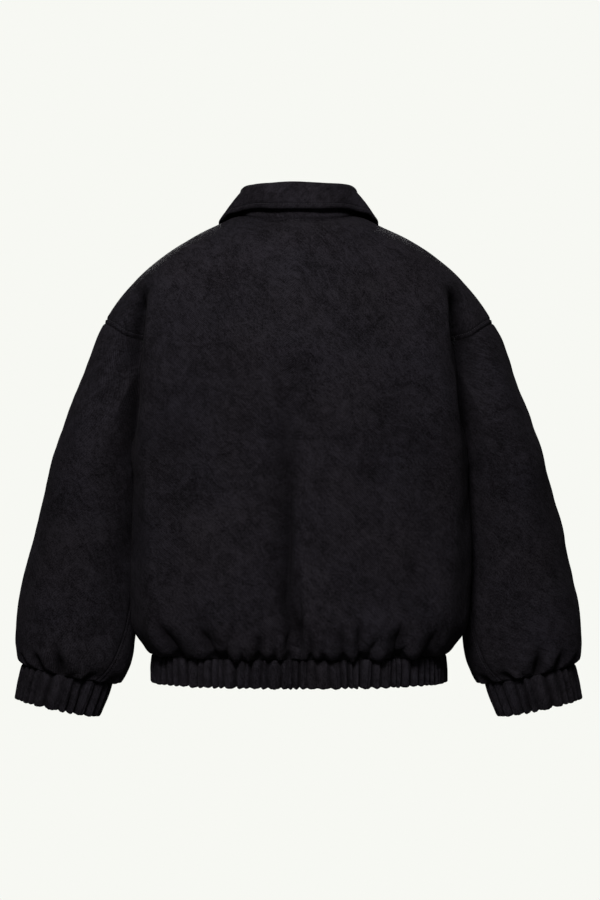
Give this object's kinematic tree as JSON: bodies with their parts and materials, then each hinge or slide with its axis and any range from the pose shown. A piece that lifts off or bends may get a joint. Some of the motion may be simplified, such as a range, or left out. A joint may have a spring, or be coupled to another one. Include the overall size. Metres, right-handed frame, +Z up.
{
  "type": "padded blouson jacket",
  "caption": "Boxy padded blouson jacket with a shirt collar, a full front zip, full sleeves and a gathered hem band and cuffs, hollow as when worn.",
  "frame": {"origin": "centre of the neck base, where the jacket hangs from the wearer's shoulders", "axes": "+X to the wearer's left, +Y out of the back, +Z up; the front zip faces -Y"},
  "size_m": [0.7714, 0.2916, 0.7172],
  "materials": {
    "cloth": "matt brushed black cotton twill over light padding",
    "zip_tape": "black woven tape with dark teeth",
    "zip_metal": "dark coated metal, semi-gloss"
  },
  "bodies": {
    "jacket": {"back": "cloth", "front_left": "cloth", "front_right": "cloth", "sleeve_left": "cloth", "sleeve_right": "cloth", "collar": "cloth", "hem_band": "cloth", "cuff_left": "cloth", "cuff_right": "cloth", "zip_tape": "zip_tape", "zip_slider": "zip_metal"},
    "zip_pull": {"zip_pull": "zip_metal"}
  },
  "joints": [
    {"name": "pull_hinge", "type": "hinge", "parent": "jacket", "child": "zip_pull", "pos_m": [0, -0.12101, -0.10216], "axis": [-1, 0, 0], "range_deg": [0, 150]}
  ]
}
